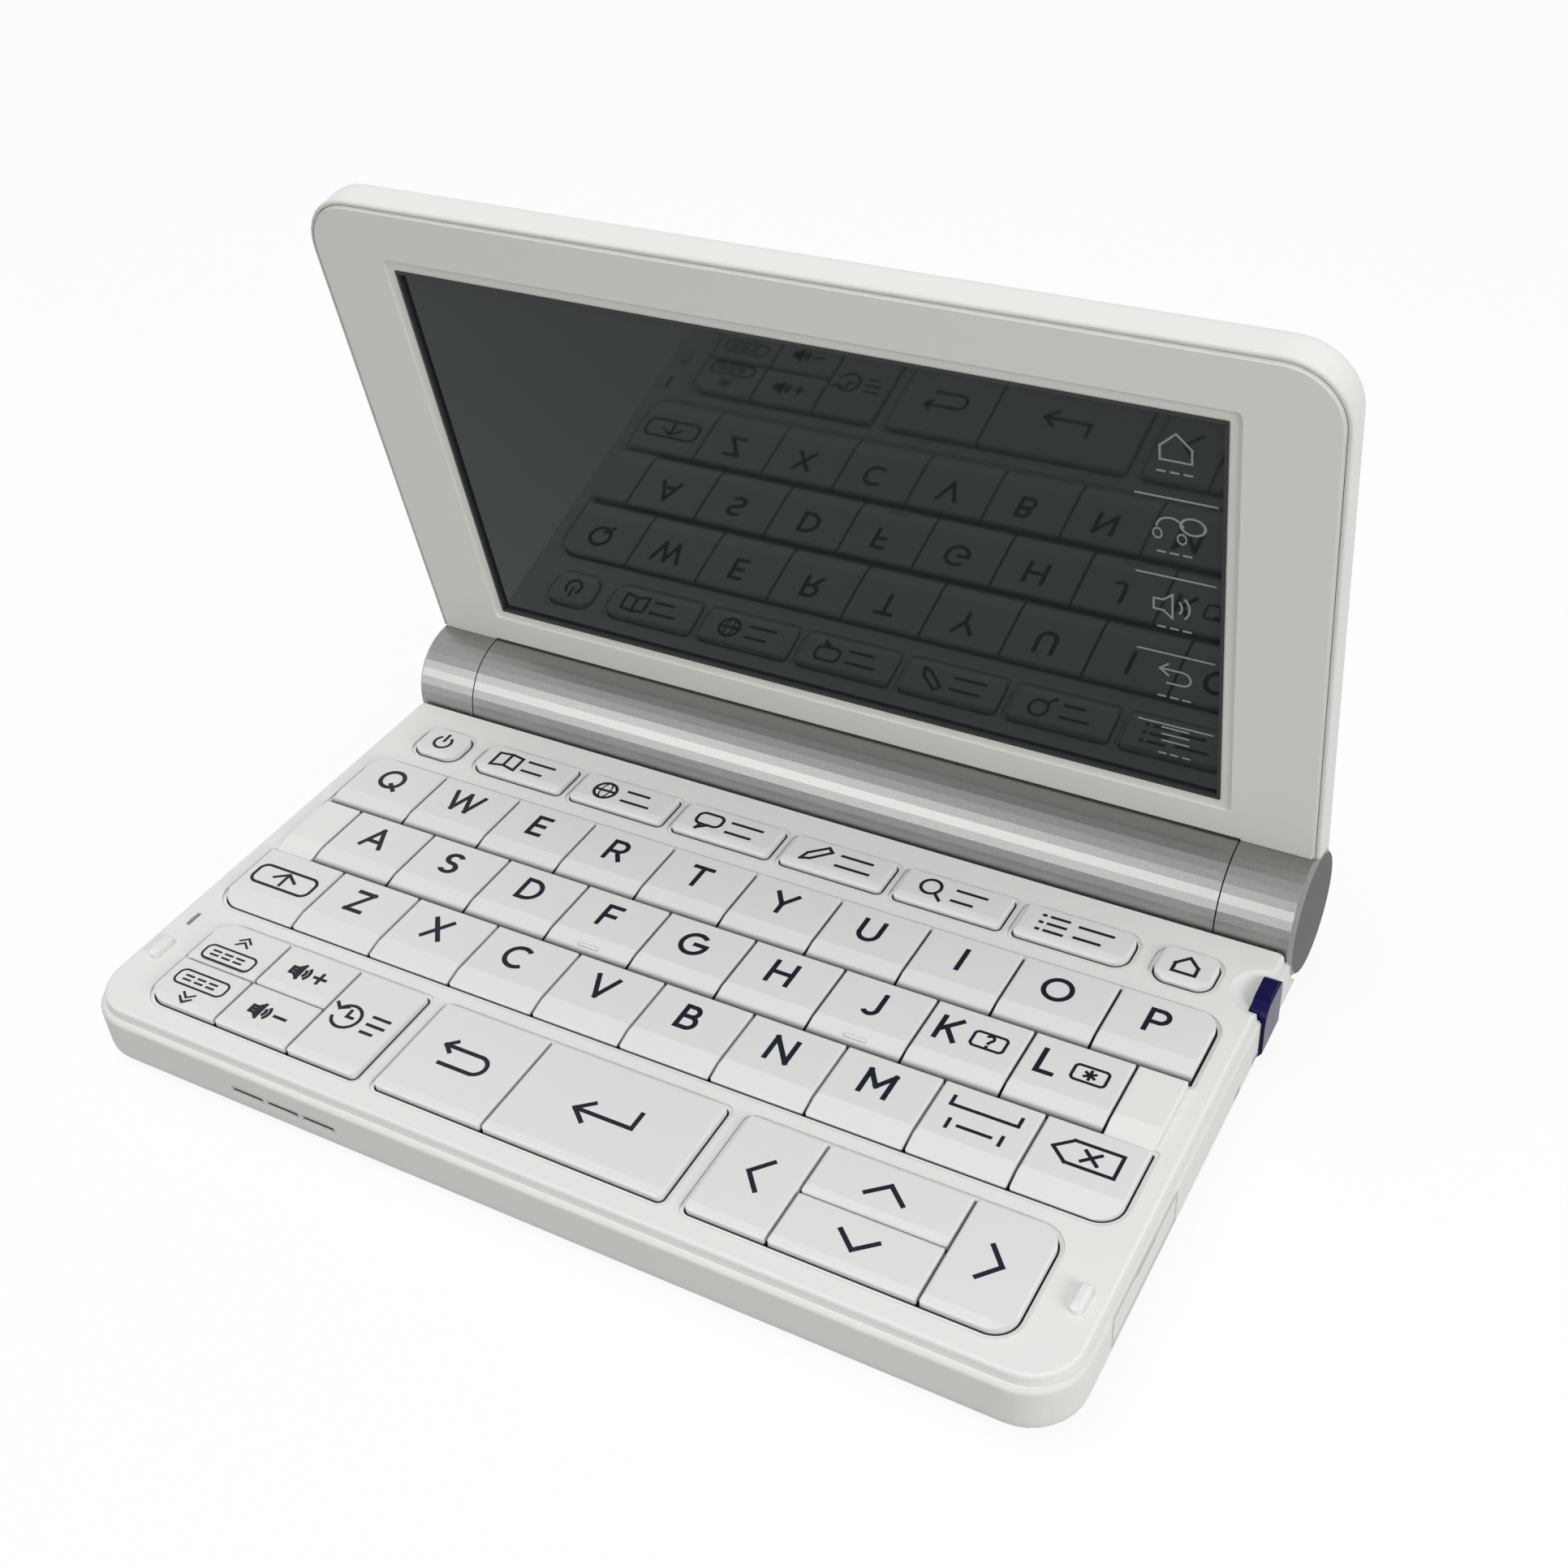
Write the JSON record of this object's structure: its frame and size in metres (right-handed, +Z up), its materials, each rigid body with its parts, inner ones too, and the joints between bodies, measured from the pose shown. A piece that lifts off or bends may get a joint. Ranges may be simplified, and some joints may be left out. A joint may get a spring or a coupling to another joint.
{
  "type": "electronic dictionary",
  "caption": "Pocket clamshell electronic dictionary: white key base, silver battery barrel hinge, screen lid, stylus in the side.",
  "frame": {"origin": "on the resting surface, under the middle of the footprint", "axes": "+Z up, +X to the user's right, +Y away from the user towards the hinge"},
  "size_m": [0.1485, 0.0982, 0.0986],
  "materials": {
    "white_shell": "satin white moulded case",
    "key_cap": "matt white key caps with dark navy legends",
    "bezel": "fine-grained off-white frame",
    "silver_barrel": "metallic silver paint on plastic",
    "board": "green solder mask",
    "cell_sleeve": "printed sleeve on a metal can",
    "navy_stylus": "smooth navy",
    "display": "dark glossy screen, switched off"
  },
  "bodies": {
    "base": {"bottom_case": "white_shell", "keyboard_deck": "white_shell", "hinge_barrel": "silver_barrel", "circuit_board": "board", "aa_cells": "cell_sleeve"},
    "lid": {"lid_back_cover": "white_shell", "lid_bezel": "bezel", "display_panel": "display", "hinge_knuckles": "silver_barrel"},
    "battery_cover": {"battery_cover": "silver_barrel"},
    "card_cover": {"card_cover": "white_shell"},
    "stylus": {"stylus": "navy_stylus"},
    "key_q": {"key_q": "key_cap"},
    "key_w": {"key_w": "key_cap"},
    "key_e": {"key_e": "key_cap"},
    "key_r": {"key_r": "key_cap"},
    "key_t": {"key_t": "key_cap"},
    "key_y": {"key_y": "key_cap"},
    "key_u": {"key_u": "key_cap"},
    "key_i": {"key_i": "key_cap"},
    "key_o": {"key_o": "key_cap"},
    "key_p": {"key_p": "key_cap"},
    "key_a": {"key_a": "key_cap"},
    "key_s": {"key_s": "key_cap"},
    "key_d": {"key_d": "key_cap"},
    "key_f": {"key_f": "key_cap"},
    "key_g": {"key_g": "key_cap"},
    "key_h": {"key_h": "key_cap"},
    "key_j": {"key_j": "key_cap"},
    "key_k": {"key_k": "key_cap"},
    "key_l": {"key_l": "key_cap"},
    "key_z": {"key_z": "key_cap"},
    "key_x": {"key_x": "key_cap"},
    "key_c": {"key_c": "key_cap"},
    "key_v": {"key_v": "key_cap"},
    "key_b": {"key_b": "key_cap"},
    "key_n": {"key_n": "key_cap"},
    "key_m": {"key_m": "key_cap"},
    "shift_key": {"shift_key": "key_cap"},
    "space_key": {"space_key": "key_cap"},
    "delete_key": {"delete_key": "key_cap"},
    "previous_key": {"previous_key": "key_cap"},
    "next_key": {"next_key": "key_cap"},
    "volume_up_key": {"volume_up_key": "key_cap"},
    "volume_down_key": {"volume_down_key": "key_cap"},
    "history_key": {"history_key": "key_cap"},
    "back_key": {"back_key": "key_cap"},
    "enter_key": {"enter_key": "key_cap"},
    "left_key": {"left_key": "key_cap"},
    "up_key": {"up_key": "key_cap"},
    "down_key": {"down_key": "key_cap"},
    "right_key": {"right_key": "key_cap"},
    "function_key_1": {"function_key_1": "key_cap"},
    "function_key_2": {"function_key_2": "key_cap"},
    "function_key_3": {"function_key_3": "key_cap"},
    "function_key_4": {"function_key_4": "key_cap"},
    "function_key_5": {"function_key_5": "key_cap"},
    "function_key_6": {"function_key_6": "key_cap"},
    "power_key": {"power_key": "key_cap"},
    "home_key": {"home_key": "key_cap"}
  },
  "joints": [
    {"name": "lid_hinge", "type": "hinge", "parent": "base", "child": "lid", "pos_m": [0, 0.0397, 0.0101], "axis": [-1, 0, 0], "range_deg": [-80.5, 69.5]},
    {"name": "battery_cover_slide", "type": "slide", "parent": "base", "child": "battery_cover", "axis": [0, 0, -1], "range_m": [0, 0.014]},
    {"name": "card_cover_hinge", "type": "hinge", "parent": "base", "child": "card_cover", "pos_m": [0.07335, -0.0245, 0.0037], "axis": [0, 1, 0], "range_deg": [0, 90]},
    {"name": "stylus_slide", "type": "slide", "parent": "base", "child": "stylus", "axis": [1, 0, 0], "range_m": [0, 0.085]},
    {"name": "key_q_press", "type": "slide", "parent": "base", "child": "key_q", "axis": [0, 0, -1], "range_m": [0, 0.0007], "stiffness_N_per_m": 300, "springref_m": -0.001},
    {"name": "key_w_press", "type": "slide", "parent": "base", "child": "key_w", "axis": [0, 0, -1], "range_m": [0, 0.0007], "stiffness_N_per_m": 300, "springref_m": -0.001},
    {"name": "key_e_press", "type": "slide", "parent": "base", "child": "key_e", "axis": [0, 0, -1], "range_m": [0, 0.0007], "stiffness_N_per_m": 300, "springref_m": -0.001},
    {"name": "key_r_press", "type": "slide", "parent": "base", "child": "key_r", "axis": [0, 0, -1], "range_m": [0, 0.0007], "stiffness_N_per_m": 300, "springref_m": -0.001},
    {"name": "key_t_press", "type": "slide", "parent": "base", "child": "key_t", "axis": [0, 0, -1], "range_m": [0, 0.0007], "stiffness_N_per_m": 300, "springref_m": -0.001},
    {"name": "key_y_press", "type": "slide", "parent": "base", "child": "key_y", "axis": [0, 0, -1], "range_m": [0, 0.0007], "stiffness_N_per_m": 300, "springref_m": -0.001},
    {"name": "key_u_press", "type": "slide", "parent": "base", "child": "key_u", "axis": [0, 0, -1], "range_m": [0, 0.0007], "stiffness_N_per_m": 300, "springref_m": -0.001},
    {"name": "key_i_press", "type": "slide", "parent": "base", "child": "key_i", "axis": [0, 0, -1], "range_m": [0, 0.0007], "stiffness_N_per_m": 300, "springref_m": -0.001},
    {"name": "key_o_press", "type": "slide", "parent": "base", "child": "key_o", "axis": [0, 0, -1], "range_m": [0, 0.0007], "stiffness_N_per_m": 300, "springref_m": -0.001},
    {"name": "key_p_press", "type": "slide", "parent": "base", "child": "key_p", "axis": [0, 0, -1], "range_m": [0, 0.0007], "stiffness_N_per_m": 300, "springref_m": -0.001},
    {"name": "key_a_press", "type": "slide", "parent": "base", "child": "key_a", "axis": [0, 0, -1], "range_m": [0, 0.0007], "stiffness_N_per_m": 300, "springref_m": -0.001},
    {"name": "key_s_press", "type": "slide", "parent": "base", "child": "key_s", "axis": [0, 0, -1], "range_m": [0, 0.0007], "stiffness_N_per_m": 300, "springref_m": -0.001},
    {"name": "key_d_press", "type": "slide", "parent": "base", "child": "key_d", "axis": [0, 0, -1], "range_m": [0, 0.0007], "stiffness_N_per_m": 300, "springref_m": -0.001},
    {"name": "key_f_press", "type": "slide", "parent": "base", "child": "key_f", "axis": [0, 0, -1], "range_m": [0, 0.0007], "stiffness_N_per_m": 300, "springref_m": -0.001},
    {"name": "key_g_press", "type": "slide", "parent": "base", "child": "key_g", "axis": [0, 0, -1], "range_m": [0, 0.0007], "stiffness_N_per_m": 300, "springref_m": -0.001},
    {"name": "key_h_press", "type": "slide", "parent": "base", "child": "key_h", "axis": [0, 0, -1], "range_m": [0, 0.0007], "stiffness_N_per_m": 300, "springref_m": -0.001},
    {"name": "key_j_press", "type": "slide", "parent": "base", "child": "key_j", "axis": [0, 0, -1], "range_m": [0, 0.0007], "stiffness_N_per_m": 300, "springref_m": -0.001},
    {"name": "key_k_press", "type": "slide", "parent": "base", "child": "key_k", "axis": [0, 0, -1], "range_m": [0, 0.0007], "stiffness_N_per_m": 300, "springref_m": -0.001},
    {"name": "key_l_press", "type": "slide", "parent": "base", "child": "key_l", "axis": [0, 0, -1], "range_m": [0, 0.0007], "stiffness_N_per_m": 300, "springref_m": -0.001},
    {"name": "key_z_press", "type": "slide", "parent": "base", "child": "key_z", "axis": [0, 0, -1], "range_m": [0, 0.0007], "stiffness_N_per_m": 300, "springref_m": -0.001},
    {"name": "key_x_press", "type": "slide", "parent": "base", "child": "key_x", "axis": [0, 0, -1], "range_m": [0, 0.0007], "stiffness_N_per_m": 300, "springref_m": -0.001},
    {"name": "key_c_press", "type": "slide", "parent": "base", "child": "key_c", "axis": [0, 0, -1], "range_m": [0, 0.0007], "stiffness_N_per_m": 300, "springref_m": -0.001},
    {"name": "key_v_press", "type": "slide", "parent": "base", "child": "key_v", "axis": [0, 0, -1], "range_m": [0, 0.0007], "stiffness_N_per_m": 300, "springref_m": -0.001},
    {"name": "key_b_press", "type": "slide", "parent": "base", "child": "key_b", "axis": [0, 0, -1], "range_m": [0, 0.0007], "stiffness_N_per_m": 300, "springref_m": -0.001},
    {"name": "key_n_press", "type": "slide", "parent": "base", "child": "key_n", "axis": [0, 0, -1], "range_m": [0, 0.0007], "stiffness_N_per_m": 300, "springref_m": -0.001},
    {"name": "key_m_press", "type": "slide", "parent": "base", "child": "key_m", "axis": [0, 0, -1], "range_m": [0, 0.0007], "stiffness_N_per_m": 300, "springref_m": -0.001},
    {"name": "shift_key_press", "type": "slide", "parent": "base", "child": "shift_key", "axis": [0, 0, -1], "range_m": [0, 0.0007], "stiffness_N_per_m": 300, "springref_m": -0.001},
    {"name": "space_key_press", "type": "slide", "parent": "base", "child": "space_key", "axis": [0, 0, -1], "range_m": [0, 0.0007], "stiffness_N_per_m": 300, "springref_m": -0.001},
    {"name": "delete_key_press", "type": "slide", "parent": "base", "child": "delete_key", "axis": [0, 0, -1], "range_m": [0, 0.0007], "stiffness_N_per_m": 300, "springref_m": -0.001},
    {"name": "previous_key_press", "type": "slide", "parent": "base", "child": "previous_key", "axis": [0, 0, -1], "range_m": [0, 0.0007], "stiffness_N_per_m": 300, "springref_m": -0.001},
    {"name": "next_key_press", "type": "slide", "parent": "base", "child": "next_key", "axis": [0, 0, -1], "range_m": [0, 0.0007], "stiffness_N_per_m": 300, "springref_m": -0.001},
    {"name": "volume_up_key_press", "type": "slide", "parent": "base", "child": "volume_up_key", "axis": [0, 0, -1], "range_m": [0, 0.0007], "stiffness_N_per_m": 300, "springref_m": -0.001},
    {"name": "volume_down_key_press", "type": "slide", "parent": "base", "child": "volume_down_key", "axis": [0, 0, -1], "range_m": [0, 0.0007], "stiffness_N_per_m": 300, "springref_m": -0.001},
    {"name": "history_key_press", "type": "slide", "parent": "base", "child": "history_key", "axis": [0, 0, -1], "range_m": [0, 0.0007], "stiffness_N_per_m": 300, "springref_m": -0.001},
    {"name": "back_key_press", "type": "slide", "parent": "base", "child": "back_key", "axis": [0, 0, -1], "range_m": [0, 0.0007], "stiffness_N_per_m": 300, "springref_m": -0.001},
    {"name": "enter_key_press", "type": "slide", "parent": "base", "child": "enter_key", "axis": [0, 0, -1], "range_m": [0, 0.0007], "stiffness_N_per_m": 300, "springref_m": -0.001},
    {"name": "left_key_press", "type": "slide", "parent": "base", "child": "left_key", "axis": [0, 0, -1], "range_m": [0, 0.0007], "stiffness_N_per_m": 300, "springref_m": -0.001},
    {"name": "up_key_press", "type": "slide", "parent": "base", "child": "up_key", "axis": [0, 0, -1], "range_m": [0, 0.0007], "stiffness_N_per_m": 300, "springref_m": -0.001},
    {"name": "down_key_press", "type": "slide", "parent": "base", "child": "down_key", "axis": [0, 0, -1], "range_m": [0, 0.0007], "stiffness_N_per_m": 300, "springref_m": -0.001},
    {"name": "right_key_press", "type": "slide", "parent": "base", "child": "right_key", "axis": [0, 0, -1], "range_m": [0, 0.0007], "stiffness_N_per_m": 300, "springref_m": -0.001},
    {"name": "function_key_1_press", "type": "slide", "parent": "base", "child": "function_key_1", "axis": [0, 0, -1], "range_m": [0, 0.0007], "stiffness_N_per_m": 300, "springref_m": -0.001},
    {"name": "function_key_2_press", "type": "slide", "parent": "base", "child": "function_key_2", "axis": [0, 0, -1], "range_m": [0, 0.0007], "stiffness_N_per_m": 300, "springref_m": -0.001},
    {"name": "function_key_3_press", "type": "slide", "parent": "base", "child": "function_key_3", "axis": [0, 0, -1], "range_m": [0, 0.0007], "stiffness_N_per_m": 300, "springref_m": -0.001},
    {"name": "function_key_4_press", "type": "slide", "parent": "base", "child": "function_key_4", "axis": [0, 0, -1], "range_m": [0, 0.0007], "stiffness_N_per_m": 300, "springref_m": -0.001},
    {"name": "function_key_5_press", "type": "slide", "parent": "base", "child": "function_key_5", "axis": [0, 0, -1], "range_m": [0, 0.0007], "stiffness_N_per_m": 300, "springref_m": -0.001},
    {"name": "function_key_6_press", "type": "slide", "parent": "base", "child": "function_key_6", "axis": [0, 0, -1], "range_m": [0, 0.0007], "stiffness_N_per_m": 300, "springref_m": -0.001},
    {"name": "power_key_press", "type": "slide", "parent": "base", "child": "power_key", "axis": [0, 0, -1], "range_m": [0, 0.0007], "stiffness_N_per_m": 300, "springref_m": -0.001},
    {"name": "home_key_press", "type": "slide", "parent": "base", "child": "home_key", "axis": [0, 0, -1], "range_m": [0, 0.0007], "stiffness_N_per_m": 300, "springref_m": -0.001}
  ]
}
